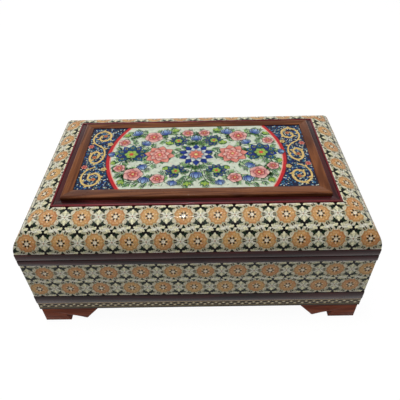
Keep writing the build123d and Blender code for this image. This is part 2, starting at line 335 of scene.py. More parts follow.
def setGrain(mesh, turn, seed):
    # The wood's own coordinates: first along the piece, then across it
    shift = random.Random(seed)
    offset = Vector((shift.uniform(0, 2), shift.uniform(0, 2), shift.uniform(0, 2)))
    back = Matrix.Rotation(-radians(turn), 3, "Z")
    grain = mesh.attributes.new("grain", "FLOAT_VECTOR", "POINT")
    for vertex, item in zip(mesh.vertices, grain.data):
        item.vector = back @ vertex.co + offset


def newPiece(name, mesh, body, replaced=()):
    piece = addObject(name, mesh)
    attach(piece, body)
    if replaced:
        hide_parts(*replaced)


def meshFrom(work, name):
    # The evaluated mesh of a working object, which is then deleted
    bpy.context.view_layer.update()
    mesh = bpy.data.meshes.new_from_object(work.evaluated_get(bpy.context.evaluated_depsgraph_get()))
    mesh.name = name
    bpy.data.objects.remove(work)
    return mesh


def thicken(work, thickness):
    # Gives a sheet its thickness, downwards from its painted or inlaid face
    body = work.modifiers.new("thickness", "SOLIDIFY")
    body.thickness = thickness * mm
    body.offset = -1


def smoothByAngle(mesh, limit):
    mesh.polygons.foreach_set("use_smooth", [True] * len(mesh.polygons))
    mesh.set_sharp_from_angle(angle=radians(limit))


def softCopy(pieceName, nodeName, body, slot, material, edge, turn=0, seed=0):
    # A copy of a CAD node with its sharp edges eased, which stands for that node
    bm = bmesh.new()
    bm.from_mesh(nodes[nodeName].data)
    bmesh.ops.remove_doubles(bm, verts=bm.verts, dist=easing["weld"] * mm)
    flat = radians(easing["flatDegrees"])
    bmesh.ops.dissolve_limit(bm, angle_limit=flat, verts=bm.verts, edges=bm.edges)
    mesh = bpy.data.meshes.new(pieceName + "Work")
    bm.to_mesh(mesh)
    bm.free()
    for extra in ("custom_normal", "UVMap"):
        if extra in mesh.attributes:
            mesh.attributes.remove(mesh.attributes[extra])
    mesh.materials.clear()
    mesh.materials.append(material)
    work = addObject(pieceName + "Work", mesh)
    bevel = work.modifiers.new("easedEdges", "BEVEL")
    bevel.width = edge * mm
    bevel.segments = easing["segments"]
    bevel.limit_method = "ANGLE"
    bevel.angle_limit = radians(easing["sharpDegrees"])
    made = meshFrom(work, pieceName)
    smoothByAngle(made, easing["sharpDegrees"])
    setGrain(made, turn, seed)
    newPiece(pieceName, made, body, [nodeName])


def makeWoodPieces():
    for number, (side, turn) in enumerate(sideTurns.items()):
        for name, (node, *rest, seed) in strips.items():
            softCopy(name + side.capitalize(), f"{node}_{side}", *rest, turn, seed + number)
    for number, corner in enumerate(("front_left", "front_right", "back_right", "back_left")):
        name = "foot" + corner.title().replace("_", "")
        seed = footSeed + number
        softCopy(name, f"foot_{corner}", "base", "foot_wood", wood["footWood"], footEdge, 0, seed)
    softCopy("redBead", "red_bead", "lid", "red_bead", wood["redBead"], beadEdge, 0, beadSeed)


def dressHiddenWood():
    # Carcase pieces keep their own mesh and take a plain wood
    plain = [f"{side}_wall" for side in sideTurns] + [f"lid_rail_{side}" for side in sideTurns]
    for number, name in enumerate(plain + ["bottom_board", "lid_board"]):
        mesh = nodes[name].data
        mesh.materials.clear()
        mesh.materials.append(wood["carcaseWood"])
        turn = next((sideTurns[side] for side in sideTurns if side in name), 0)
        setGrain(mesh, turn, carcaseSeed + number)


def makeFittings():
    for hand in ("left", "right"):
        for name, (node, *rest) in hingeParts.items():
            softCopy(name + hand.capitalize(), f"{node}_{hand}", *rest)
    for name, values in fittings.items():
        softCopy(name, *values)


# Khatam: rows of small triangles that make one flower in each repeat

khatam = {
    "pitch": 20.23, "columns": 32, "rows": 28, "thickness": 1.6, "setback": 0.4, "arcSteps": 96,
    "shades": (0.7, 1.14), "smoothDegrees": 40,
    # the flower from its middle outwards, in shares of the pitch and degrees from a spoke
    "centreRadius": 0.056, "ringRadius": 0.122, "ringEdge": 0.034, "innerSpoke": 25, "outerSpoke": 15,
    "starRadius": 0.15, "starFrom": 21, "band": (0.19, 0.225), "bandSpoke": 8, "rimWidth": 0.028,
    "discRadius": 0.258, "toothDepth": 0.034, "dashes": (0.302, 0.385, 0.012, 0.056),
    # the dark leaves between the flowers
    "wingHeight": 0.289, "wingLength": 0.232, "wingWidth": (0.03, 0.25), "wingPoint": 0.04,
    "wingHeart": 0.11, "lozenge": (0.13, 0.1, 0.052), "borderMark": (0.07, 0.105),
    # the pale blossom at each seam, the ground round the flower and the line along the row
    "heartRadius": 0.03, "lobeRadius": 0.135, "lobeSwing": 0.045, "veinSpoke": 9, "veinStart": 0.05,
    "haloRadius": 0.4, "haloFrom": 16, "edgeLine": 0.05,
    **palette(
        cream=(206, 192, 150), pale=(184, 192, 164), blossom=(246, 240, 200), orange=(220, 168, 104),
        amber=(168, 106, 54), white=(250, 236, 210), brown=(48, 20, 8), green=(12, 34, 14),
        black=(6, 5, 3), lobe=(240, 236, 216), vein=(150, 160, 124), rose=(190, 160, 132),
        peach=(240, 204, 150), tan=(204, 164, 112), honey=(232, 186, 122),
    ),
}
# Where the first flower of each row stands on the front, left of the middle
khatamStarts = {"lidUpper": -88.2, "lidLower": -100.3, "baseUpper": -96.1, "baseLower": -103.7}
khatamSeeds = {"baseUpper": 3, "baseLower": 13, "lidUpper": 23, "lidLower": 33}


def rayPlace(x, y, facing):
    # How far along a direction a point lies, and how far to its side
    turn = radians(facing)
    return x * cos(turn) + y * sin(turn), abs(y * cos(turn) - x * sin(turn))


def fromSixth(x, y):
    # Degrees between a point's direction and the nearest of six even directions
    return 30 - abs(degrees(atan2(y, x)) % 60 - 30)


def flowerTile(x, y, pointsUp):
    k = khatam
    reach, fromSpoke = hypot(x, y), fromSixth(x, y)
    if reach < k["centreRadius"]:
        return k["white"], 0
    if reach < k["ringRadius"]:
        spoke = k["innerSpoke"] if reach < k["ringRadius"] - k["ringEdge"] else k["outerSpoke"]
        return (k["brown"] if fromSpoke < spoke else k["peach"]), 0
    tooth = abs(degrees(atan2(y, x)) % 30 - 15) / 15
    if reach < k["discRadius"] + k["toothDepth"] * (1 - tooth):
        if reach < k["starRadius"] and fromSpoke > k["starFrom"]:
            return k["white"], 0
        if reach > k["discRadius"] - k["rimWidth"]:
            return (k["amber"] if pointsUp else k["tan"]), 1
        low, high = k["band"]
        if low < reach < high and tooth < 0.5:
            return (k["amber"] if fromSpoke < k["bandSpoke"] else k["peach"]), 1
        return (k["orange"] if pointsUp or tooth > 0.5 else k["honey"]), 1
    near, far, inner, outer = k["dashes"]
    for step in range(6):
        ahead, aside = rayPlace(x, y, 60 * step)
        if near < ahead < far and inner < aside < outer:
            return k["brown"], 0
    return None


def wingTile(x, y):
    # The dark three-armed leaves between the flowers, with pale lozenges between their arms
    k = khatam
    fromSeam, rise = abs(x) - 0.5, abs(y) - k["wingHeight"]
    start, growth = k["wingWidth"]
    for facing in (210, 330, 90):
        ahead, aside = rayPlace(fromSeam, rise, facing)
        half = start + growth * ahead
        if 0 <= ahead < k["wingLength"] - k["wingPoint"] * (1 - aside / half) and aside < half:
            return k["green"] if ahead > k["wingHeart"] else k["black"]
    middle, reach, width = k["lozenge"]
    for facing in (270, 30, 150):
        ahead, aside = rayPlace(fromSeam, rise, facing)
        if aside < width * (1 - abs(ahead - middle) / reach):
            return k["blossom"]
    return None


def tileFor(x, y, pointsUp):
    # x and y are shares of the pitch from the flower's centre; gives the colour and whether it is petal
    k = khatam
    flower = flowerTile(x, y, pointsUp)
    if flower:
        return flower
    wing = wingTile(x, y)
    if wing:
        return wing, 0
    fromEdge = k["rows"] * triangleRise / k["columns"] / 2 - abs(y)
    markWidth, markHeight = k["borderMark"]
    if abs(x) < markWidth * (1 - fromEdge / markHeight):
        return k["green"], 0
    fromSeam = abs(x) - 0.5
    reach, fromVein = hypot(fromSeam, y), fromSixth(fromSeam, y)
    if reach < k["heartRadius"]:
        return k["rose"], 0
    if reach < k["lobeRadius"] - k["lobeSwing"] * cos(radians(6 * fromVein)):
        return (k["vein"] if fromVein < k["veinSpoke"] and reach > k["veinStart"] else k["lobe"]), 0
    if hypot(x, y) < k["haloRadius"] and fromSixth(x, y) > k["haloFrom"]:
        return (k["lobe"] if pointsUp else k["cream"]), 0
    if fromEdge < k["edgeLine"]:
        return k["lobe"], 0
    return (k["cream"] if pointsUp else k["pale"]), 0


def makeKhatamMotif():
    # One repeat, its flower in the middle, in tiles of equal size
    columns, rows, pitch = khatam["columns"], khatam["rows"], khatam["pitch"]
    tile = pitch / columns
    points = []
    for row in range(rows + 1):
        for column in range(columns + 1):
            points.append(((column + 0.5 * (row % 2)) * tile, (row - rows / 2) * tile * triangleRise, 0))
    faces = []
    for row in range(rows):
        for column in range(columns):
            low = row * (columns + 1) + column
            top = low + columns + 1
            if row % 2:
                faces += [(low, low + 1, top + 1), (low, top + 1, top)]
            else:
                faces += [(low, low + 1, top), (low + 1, top + 1, top)]
    shades = random.Random(7)
    colours, petals = [], []
    for index, face in enumerate(faces):
        x, y = (sum(points[corner][axis] for corner in face) / 3 / pitch for axis in (0, 1))
        tileColour, petal = tileFor(x % 1 - 0.5, y, pointsUp=index % 2 == 0)
        shade = shades.uniform(*khatam["shades"])
        colours += [channel * shade for channel in tileColour[:3]] + [1]
        petals.append(petal)
    mesh = bpy.data.meshes.new("khatamMotif")
    mesh.from_pydata([[c * mm for c in point] for point in points], [], faces)
    mesh.attributes.new("tileColour", "FLOAT_COLOR", "FACE").data.foreach_set("color", colours)
    mesh.attributes.new("petal", "FLOAT", "FACE").data.foreach_set("value", petals)
    return addObject("khatamMotif", mesh)


# Chain strip: two staggered rows of dark dashes and cream lozenges, between thin lines

chain = {
    "pitch": 5.1, "height": 7.2, "relief": 0.05, "setback": 0.4, "thickness": 0.25, "edge": 0.15, "seed": 5,
    "slant": 0.55, "dash": 2.75, "upperRow": (4.75, 5.95), "lowerRow": (2.55, 3.75),
    "lozenge": 1.9, "lozengeRise": 0.62, "lozengeSkew": 0.2, "lozengeShift": 0.35,
    "bands": (("line", 6.4, 7.05), ("olive", 1.55, 2.0), ("foot", 0.15, 1.3)),
    **palette(
        dark=(26, 14, 8), cream=(255, 244, 208), line=(214, 190, 156), olive=(120, 108, 66),
        foot=(52, 38, 30),
    ),
}


def makeChainMotif():
    c = chain
    pitch, slant, dash, skew = c["pitch"], c["slant"], c["dash"], c["lozengeSkew"]
    half, rise = c["lozenge"] / 2, c["lozengeRise"]
    shapes = []
    for first, (low, high), hand in ((0.0, c["upperRow"], -1), (pitch / 2, c["lowerRow"], 1)):
        outline = [(first + slant, high), (first, low), (first + dash, low), (first + dash + slant, high)]
        shapes.append((outline, c["dark"]))
        x, y = first + pitch / 2 + dash / 2 + slant / 2, (low + high) / 2 + hand * c["lozengeShift"]
        outline = [(x - half, y), (x - skew, y - rise), (x + half, y), (x + skew, y + rise)]
        shapes.append((outline, c["cream"]))
    for key, low, high in c["bands"]:
        shapes.append(([(0, high), (0, low), (pitch, low), (pitch, high)], c[key]))
    points, faces, colours = [], [], []
    for outline, shapeColour in shapes:
        faces.append(tuple(range(len(points), len(points) + 4)))
        points += [(x * mm, (y - c["height"] / 2) * mm, 0) for x, y in outline]
        colours += list(shapeColour)
    mesh = bpy.data.meshes.new("chainMotif")
    mesh.from_pydata(points, [], faces)
    mesh.attributes.new("tileColour", "FLOAT_COLOR", "FACE").data.foreach_set("color", colours)
    return addObject("chainMotif", mesh)


# Geometry Nodes: repeats a motif along one side and wraps it onto the side's section

def makeWrapTree():
    inputs = {
        "Geometry": "Geometry", "Motif": "Object", "Section": "Object", "Copies": "Int", "Pitch": "Float",
        "First": "Float", "Height": "Float", "Stretch": "Float", "Seed": "Int", "Material": "Material",
    }
    tree, given, out = nodeGroup("wrapAlongSide", "GeometryNodeTree", inputs, {"Geometry": "Geometry"})
    start = result(tree, "ShaderNodeCombineXYZ", {"X": given["First"]})
    step = result(tree, "ShaderNodeCombineXYZ", {"X": given["Pitch"]})
    places = {"Count": given["Copies"], "Start Location": start, "Offset": step}
    line = result(tree, "GeometryNodeMeshLine", places)
    motif = addNode(tree, "GeometryNodeObjectInfo", {"Object": given["Motif"]}).outputs["Geometry"]
    copies = result(tree, "GeometryNodeInstanceOnPoints", {"Points": line, "Instance": motif})
    tone = addNode(tree, "FunctionNodeRandomValue", {"Seed": given["Seed"]}, data_type="FLOAT").outputs[1]
    named = {"Geometry": copies, "Name": "tone", "Value": tone}
    toned = result(tree, "GeometryNodeStoreNamedAttribute", named, data_type="FLOAT", domain="INSTANCE")
    real = result(tree, "GeometryNodeRealizeInstances", {"Geometry": toned})
    joined = result(tree, "GeometryNodeMergeByDistance", {"Geometry": real, "Distance": 0.01 * mm})
    position = result(tree, "GeometryNodeInputPosition")
    place = addNode(tree, "ShaderNodeSeparateXYZ", {0: position}).outputs
    fromMiddle = mathNode(tree, "MULTIPLY", place[1], given["Stretch"])
    upSection = mathNode(tree, "ADD", fromMiddle, given["Height"])
    section = addNode(tree, "GeometryNodeObjectInfo", {"Object": given["Section"]}).outputs["Geometry"]
    sample = {"Curves": section, "Length": upSection}
    onSection = addNode(tree, "GeometryNodeSampleCurve", sample, mode="LENGTH").outputs["Position"]
    sectionPlace = addNode(tree, "ShaderNodeSeparateXYZ", {0: onSection}).outputs
    axes = {"X": place[0], "Y": sectionPlace[1], "Z": sectionPlace[2]}
    wrapped = result(tree, "ShaderNodeCombineXYZ", axes)
    moved = result(tree, "GeometryNodeSetPosition", {"Geometry": joined, "Position": wrapped})
    dressed = result(tree, "GeometryNodeSetMaterial", {"Geometry": moved, "Material": given["Material"]})
    tree.links.new(dressed, out[0])
    return tree


wrapTree = makeWrapTree()


def sectionCurve(name, points):
    # points are (y, z) in metres, from the bottom of the section to its top
    data = bpy.data.curves.new(name, "CURVE")
    data.dimensions = "3D"
    spline = data.splines.new("POLY")
    spline.points.add(len(points) - 1)
    for point, (y, z) in zip(spline.points, points):
        point.co = (0, y, z, 1)
    return addObject(name, data)


def cutMitres(mesh, faceDistance, halfLength):
    # Cuts both ends at 45 degrees through the corners and closes the cuts
    bm = bmesh.new()
    bm.from_mesh(mesh)
    for end in (1, -1):
        whole = bm.verts[:] + bm.edges[:] + bm.faces[:]
        cut = bmesh.ops.bisect_plane(
            bm, geom=whole, dist=1e-7, clear_outer=True,
            plane_co=(end * halfLength, -faceDistance, 0), plane_no=(end, 1, 0),
        )
        edges = [item for item in cut["geom_cut"] if isinstance(item, bmesh.types.BMEdge)]
        bmesh.ops.holes_fill(bm, edges=edges, sides=0)
    bm.to_mesh(mesh)
    bm.free()


def wrapRow(name, motif, section, row, thickness, material):
    # One row of the motif on one side, as a closed strip
    work = addObject(name + "Work", bpy.data.meshes.new(name + "Work"))
    wrap = work.modifiers.new("wrap", "NODES")
    wrap.node_group = wrapTree
    values = {"Motif": motif, "Section": section, "Material": material, **row}
    for item in wrapTree.interface.items_tree:
        if item.in_out == "INPUT" and item.name in values:
            wrap[item.identifier] = values[item.name]
    thicken(work, thickness)
    return meshFrom(work, name)


def joinMeshes(name, meshes):
    bm = bmesh.new()
    for mesh in meshes:
        bm.from_mesh(mesh)
    joined = meshes[0].copy()
    joined.name = name
    bm.to_mesh(joined)
    bm.free()
    return joined


def sideSizes(side):
    # Half length of the side and how far its outer face is from the middle
    return (cadHigh.x, cadHigh.y) if side in ("front", "back") else (cadHigh.y, cadHigh.x)


def coverSide(name, side, motif, rows, points, thickness, material, body, replaced=()):
    halfLength, faceDistance = sideSizes(side)
    section = sectionCurve(name + "Section", points)
    meshes = []
    for index, row in enumerate(rows):
        mesh = wrapRow(f"{name}{index}", motif, section, row, thickness, material)
        cutMitres(mesh, faceDistance, halfLength)
        meshes.append(mesh)
    bpy.data.objects.remove(section)
    mesh = joinMeshes(name, meshes)
    mesh.transform(Matrix.Rotation(radians(sideTurns[side]), 4, "Z"))
    smoothByAngle(mesh, khatam["smoothDegrees"])
    newPiece(name, mesh, body, replaced)


def rowValues(side, start, pitch, middle, stretch, seed):
    # The copies of a motif, enough to reach past both ends, with one of them centred on start
    halfLength = sideSizes(side)[0] / mm
    left = start - pitch / 2
    while left > -halfLength - pitch / 4:
        left -= pitch
    count = ceil((halfLength + pitch / 4 - left) / pitch)
    return {
        "Copies": count, "Pitch": pitch * mm, "First": left * mm, "Height": middle, "Stretch": stretch,
        "Seed": seed,
    }


def layKhatam(motif, body, side, number, points, material):
    # Two rows of flowers, one above the other, up a section
    pitch = khatam["pitch"]
    natural = khatam["rows"] * triangleRise * pitch / khatam["columns"] * mm
    length = sum(dist(first, second) for first, second in zip(points, points[1:]))
    rows = []
    for level, middle in (("Upper", 0.75), ("Lower", 0.25)):
        key = body + level
        stretch = length / 2 / natural
        seed = khatamSeeds[key] + number
        rows.append(rowValues(side, khatamStarts[key], pitch, length * middle, stretch, seed))
    name = "khatam" + body.capitalize() + side.capitalize()
    coverSide(name, side, motif, rows, points, khatam["thickness"], material, body,
              [f"{body}_khatam_{side}"])


def makeKhatam():
    motif = makeKhatamMotif()
    steps = khatam["arcSteps"]
    for number, side in enumerate(sideTurns):
        face = -sideSizes(side)[1] + khatam["setback"] * mm
        low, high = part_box(f"base_khatam_{side}")
        layKhatam(motif, "base", side, number, [(face, low.z), (face, high.z)], baseKhatam)
        low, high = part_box(f"lid_khatam_{side}")
        size = high - low
        reach = size.y if side in ("front", "back") else size.x
        curve = []
        for step in range(steps + 1):
            turn = pi / 2 * step / steps
            curve.append((face + reach * (1 - cos(turn)), low.z + size.z * sin(turn)))
        layKhatam(motif, "lid", side, number, curve, lidKhatam)
    bpy.data.objects.remove(motif)
    print("khatam laid")


def makeChain():
    motif = makeChainMotif()
    for number, (side, turn) in enumerate(sideTurns.items()):
        cap, node = side.capitalize(), f"chain_strip_{side}"
        softCopy(f"chainGround{cap}", node, "base", "chain_inlay", wood["chainGround"], chain["edge"], turn,
                 chainSeed + number)
        low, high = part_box(node)
        face = -sideSizes(side)[1] + (chain["setback"] - chain["relief"]) * mm
        row = rowValues(side, 0.0, chain["pitch"], (high.z - low.z) / 2, 1.0, chain["seed"])
        points = [(face, low.z), (face, high.z)]
        coverSide(f"chainInlay{cap}", side, motif, [row], points, chain["thickness"], chainMaterial,
                  "base")
    bpy.data.objects.remove(motif)
    print("chain strips laid")


# Painted panel: thin layers of paint in a design of flowers and scrolls

panel = {
    "boardEdge": 0.15, "margin": 0.15, "cartoucheHalf": 60.0, "cartoucheBulge": 10.5, "layerStep": 0.005,
    "firstLayer": 0.01, "thickness": 0.004, "specks": 760, "groundMarks": 190,
    # inset from the cartouche's edge, width, colour and layer
    "cartoucheLines": ((0.0, 2.2, "red", 12), (-1.2, 0.5, "wine", 13), (1.5, 0.7, "pink", 11)),
    # middle, radii, first direction in degrees and hand of each gold scroll on the right end
    "scrolls": (
        (67.0, 23.8, (9.0, 11.2), -90, 1), (69.0, 0.6, (7.0, 12.0), 90, 1),
        (67.0, -23.6, (9.0, 11.4), 90, -1),
    ),
    "scrollInner": 0.16, "scrollTurns": 1.6, "scrollPetal": (2.7, 1.4), "scrollLean": 0.7,
    **palette(
        cream=(214, 222, 202), navy=(8, 18, 52), cobalt=(16, 56, 156), sky=(92, 150, 200),
        teal=(16, 100, 136), white=(238, 240, 232), gold=(222, 184, 112), goldDark=(96, 62, 30),
        yellow=(240, 214, 140), red=(196, 34, 40), wine=(96, 12, 28), rose=(190, 44, 84),
        coral=(220, 84, 66), pink=(240, 168, 148), pinkPale=(244, 208, 192), leaf=(34, 104, 50),
        leafPale=(122, 172, 84), leafDark=(10, 50, 30), ice=(178, 210, 236), lime=(190, 204, 84),
    ),
    # x, y, size and facing of each motif on the right half, by kind; the left half mirrors it
    "motifs": (
        ("fan", ((44.5, 1.5, 10.5, 0),)),
        ("rosette", ((25.0, 0.5, 10.2, 10),)),
        ("fan", ((12.6, 17.0, 6.4, 50), (13.3, -18.0, 6.6, -50))),
        ("rose", ((30.5, 22.5, 6.6, 20), (41.0, -20.5, 6.6, 0), (6.0, 27.0, 4.2, 30),
            (24.8, -25.6, 4.8, 40), (51.0, 16.0, 4.2, 0), (50.8, -13.8, 4.0, 30))),
        ("tulip", ((21.5, 25.5, 6.6, 75), (41.5, 25.5, 6.2, 60), (33.0, -24.0, 6.0, -80),
            (36.5, 12.5, 5.6, 120), (37.0, -10.8, 5.6, -120), (14.6, -28.0, 5.0, -75),
            (56.2, 2.0, 4.4, 0))),
        ("bud", ((19.5, 12.0, 5.4, 100), (19.8, -12.4, 5.2, -95), (6.2, -28.5, 5.0, -100),
            (14.0, 28.5, 5.2, 70), (48.5, 23.5, 4.8, 50), (46.8, -26.0, 5.0, -60), (36.8, 3.0, 4.2, 85),
            (54.0, -6.8, 4.2, -30))),
    ),
    # start, two handles and end of each vine on the right half
    "vines": (
        ((4, 3), (12, 12), (14, -6), (25, 0)), ((25, 0), (34, 7), (36, -6), (44, 1)),
        ((4, 8), (8, 18), (18, 18), (31, 22)), ((4, -8), (8, -20), (18, -20), (25, -25)),
        ((25, -2), (30, -12), (36, -14), (41, -20)), ((25, 2), (30, 12), (40, 10), (51, 16)),
        ((31, 22), (36, 28), (42, 30), (48, 24)), ((25, -25), (32, -30), (40, -30), (47, -27)),
        ((2, 10), (3, 18), (4, 24), (6, 27)), ((2, -10), (3, -20), (5, -26), (8, -31)),
        ((44, 1), (50, 4), (54, 8), (57, 4)), ((44, 1), (50, -4), (52, -8), (51, -14)),
        ((31, 22), (26, 26), (20, 30), (14, 31)), ((41, -20), (44, -18), (48, -18), (53, -20)),
    ),
}
brush = {
    # share of the length and of the half width, from a stroke's start to its point
    "strokeShape": ((0, 0.3), (0.4, 1.0), (0.8, 0.6), (1, 0.12)),
    "petalSteps": 7, "petalStart": 0.04, "petalSpan": 0.93, "petalLeast": 0.03, "petalFade": 1.4,
    "petalFolds": (1, 0.4, -0.4, -1), "discRings": (0.05, 0.6, 1.0), "discSides": 12,
    "veinLean": 0.12, "veinReach": 0.72, "veinWidth": 0.34,
    "leafGap": 1.25, "leafLength": 3.3, "leafWidth": 0.85, "leafLean": 0.85, "stemWidth": 0.32,
}
# Layers of paint, from the board upwards
layers = {
    "ground": 1, "marks": 2, "specks": 3, "vines": 5, "scrolls": 5, "sprays": 7, "scrollPetals": 9,
    "scrollEyes": 12, "endFlowers": 14, "flowers": 30, "budLeaves": 40, "calyx": 44, "fanEyes": 50,
    "fanHearts": 52,
}


def paintColour(value):  # a name in the panel's palette, or a mixed colour
    return panel[value] if isinstance(value, str) else value


def mixPaint(first, second, share):
    return tuple(a + (b - a) * share for a, b in zip(paintColour(first), paintColour(second)))


class Paint:
    # Collects flat patches of paint, each with its own colours and layer
    def __init__(self):
        self.points, self.faces, self.colours = [], [], []
        self.random = random.Random(11)

    def patch(self, rows, colours, layer):
        # rows is a grid of (x, y) in millimetres and colours gives one colour for each row
        height = panel["firstLayer"] + panel["layerStep"] * layer
        width = len(rows[0])
        first = len(self.points)
        for row, rowColour in zip(rows, colours):
            for x, y in row:
                self.points.append((x, y, height))
                self.colours.append(paintColour(rowColour))
        for i in range(len(rows) - 1):
            for j in range(width - 1):
                a = first + i * width + j
                self.faces.append((a, a + 1, a + width + 1, a + width))

    def ribbon(self, path, widths, middleColour, layer, edgeColour=None):
        left, right = [], []
        for index, (x, y) in enumerate(path):
            before, after = path[max(index - 1, 0)], path[min(index + 1, len(path) - 1)]
            dx, dy = after[0] - before[0], after[1] - before[1]
            size = hypot(dx, dy) or 1
            nx, ny = -dy / size * widths[index] / 2, dx / size * widths[index] / 2
            left.append((x + nx, y + ny))
            right.append((x - nx, y - ny))
        edge = edgeColour or middleColour
        self.patch([left, path, right], [edge, middleColour, edge], layer)

    def stroke(self, x, y, facing, length, width, strokeColour, layer):
        # A short brush mark, broad in the middle and pointed at the end
        ax, ay = cos(facing), sin(facing)
        rows = []
        for share, half in brush["strokeShape"]:
            px, py, h = x + ax * length * share, y + ay * length * share, half * width / 2
            rows.append([(px - ay * h, py + ax * h), (px + ay * h, py - ax * h)])
        self.patch(rows, [strokeColour] * len(rows), layer)

    def petal(self, x, y, facing, length, width, base, tip, layer, edge=None, fullness=0.62, rim=0.32):
        # A petal that grows from (x, y), inside a thin outline where edge is given
        if edge:
            wider = width + 2 * rim
            self.petal(x, y, facing, length + rim, wider, edge, edge, layer - 1, fullness=fullness)
        ax, ay = cos(facing), sin(facing)
        rows, colours = [], []
        for step in range(brush["petalSteps"] + 1):
            share = step / brush["petalSteps"]
            swell = brush["petalStart"] + brush["petalSpan"] * share ** (1 / (2 * fullness))
            half = width / 2 * max(sin(pi * swell), brush["petalLeast"])
            px, py = x + ax * length * share, y + ay * length * share
            rows.append([(px - ay * half * fold, py + ax * half * fold) for fold in brush["petalFolds"]])
            colours.append(mixPaint(base, tip, share ** brush["petalFade"]))
        self.patch(rows, colours, layer)

    def disc(self, x, y, radius, inner, outer, layer):
        turns = [tau * step / brush["discSides"] for step in range(brush["discSides"] + 1)]
        rings = []
        for share in brush["discRings"]:
            size = radius * share
            rings.append([(x + size * cos(turn), y + size * sin(turn)) for turn in turns])
        self.patch(rings, [inner, inner, outer], layer)

    def ring(self, x, y, radius, petals, base, tip, edge, layer, turn=0.0, wide=0.8, fullness=0.45):
        # Petals round a point, each over the last; gives the layer above them
        for index in range(petals):
            facing = turn + tau * index / petals
            width = tau * radius / petals * wide
            self.petal(x, y, facing, radius, width, base, tip, layer + 2 * index, edge, fullness)
            vein = mixPaint(base, edge, 0.5)
            for lean in (-brush["veinLean"], brush["veinLean"]):
                self.stroke(x, y, facing + lean, radius * brush["veinReach"], brush["veinWidth"], vein,
                            layer + 2 * index + 0.5)
        return layer + 2 * petals

    def spray(self, x, y, facing, length, layer):
        # A stem with pairs of narrow leaves
        b = brush
        bend = self.random.uniform(-0.5, 0.5)
        pairs = max(3, round(length / b["leafGap"]))
        path = []
        for step in range(pairs + 1):
            path.append((x, y))
            facing += bend / pairs
            x += cos(facing) * length / pairs
            y += sin(facing) * length / pairs
        self.ribbon(path, [b["stemWidth"]] * len(path), "leafDark", layer)
        for step, (px, py) in enumerate(path[1:]):
            size = b["leafLength"] * (1 - 0.5 * step / pairs)
            for lean in (-b["leafLean"], b["leafLean"]):
                green = self.random.choice(["leaf", "leafPale", "leafDark", "leaf"])
                self.stroke(px, py, facing + lean, size, b["leafWidth"], green, layer + 1)

    def rosette(self, x, y, size, facing):
        top = self.ring(x, y, size, 8, "red", "pink", "wine", layers["flowers"], facing)
        top = self.ring(x, y, size * 0.66, 7, "red", "pinkPale", "wine", top, facing + 0.4)
        top = self.ring(x, y, size * 0.36, 6, "coral", "pinkPale", "red", top, facing)
        self.disc(x, y, size * 0.11, "yellow", "goldDark", top + 1)

    def rose(self, x, y, size, facing):
        top = self.ring(x, y, size, 5, "rose", "pinkPale", "wine", layers["flowers"], facing, 0.95)
        top = self.ring(x, y, size * 0.55, 5, "red", "pink", "wine", top, facing + 0.6)
        self.disc(x, y, size * 0.16, "yellow", "goldDark", top + 1)

    def fan(self, x, y, size, facing):
        # Blue and teal petals, each with a bright eye
        for index, share in enumerate((-4, 4, -3, 3, -2, 2, -1, 1, 0)):
            turn = facing + pi / 2 + share * radians(33)
            tip = "cobalt" if share % 2 else "teal"
            layer = layers["flowers"] + 1 + 2 * index
            self.petal(x, y, turn, size, size * 0.52, "navy", tip, layer, "navy", 0.45, 0.4)
            ex, ey = x + cos(turn) * size * 0.74, y + sin(turn) * size * 0.74
            self.disc(ex, ey, size * 0.1, "navy", "lime", layers["fanEyes"])
        heart = layers["fanHearts"]
        top = self.ring(x, y, size * 0.45, 6, "lime", "leafPale", "leafDark", heart, facing)
        self.disc(x, y, size * 0.14, "coral", "red", top + 1)

    def bud(self, x, y, size, facing):
        # Yellow-green bud in its leaves
        for index, lean in enumerate((-0.55, 0.55, 0.0)):
            length = size * (1 if lean == 0 else 0.85)
            layer = layers["flowers"] + 1 + 2 * index
            self.petal(x, y, facing + lean, length, size * 0.46, "leafPale", "lime", layer, "leaf",
                       0.5, 0.26)
        for lean in (-0.9, 0.9):
            self.stroke(x, y, facing + lean, size * 0.6, 0.8, "leafDark", layers["budLeaves"])

    def tulip(self, x, y, size, facing):
        # Pale flower with a thick blue outline
        for index, lean in enumerate((-0.75, 0.75, -0.36, 0.36, 0.0)):
            length = size * (1 - 0.2 * abs(lean))
            layer = layers["flowers"] + 1 + 2 * index
            self.petal(x, y, facing + lean, length, size * 0.48, "cobalt", "ice", layer, "navy",
                       0.48, 0.5)
        back = facing + pi
        self.petal(x, y, back, size * 0.25, size * 0.3, "leaf", "leafDark", layers["calyx"])


def curvePoints(start, first, second, end, steps=18):
    points = []
    for step in range(steps + 1):
        t = step / steps
        weights = ((1 - t) ** 3, 3 * t * (1 - t) ** 2, 3 * t * t * (1 - t), t ** 3)
        corners = tuple(zip(weights, (start, first, second, end)))
        points.append(tuple(sum(weight * corner[axis] for weight, corner in corners) for axis in (0, 1)))
    return points


def spiralPoints(x, y, radii, facing, hand, steps=56):
    points = []
    for step in range(steps + 1):
        share = step / steps
        turn = facing + hand * tau * panel["scrollTurns"] * share
        size = 1 + (panel["scrollInner"] - 1) * share ** 0.8
        points.append((x + radii[0] * size * cos(turn), y + radii[1] * size * sin(turn)))
    return points


def cartoucheX(y, halfDepth, inset=0.0):
    return panel["cartoucheHalf"] - panel["cartoucheBulge"] * (y / halfDepth) ** 2 - inset


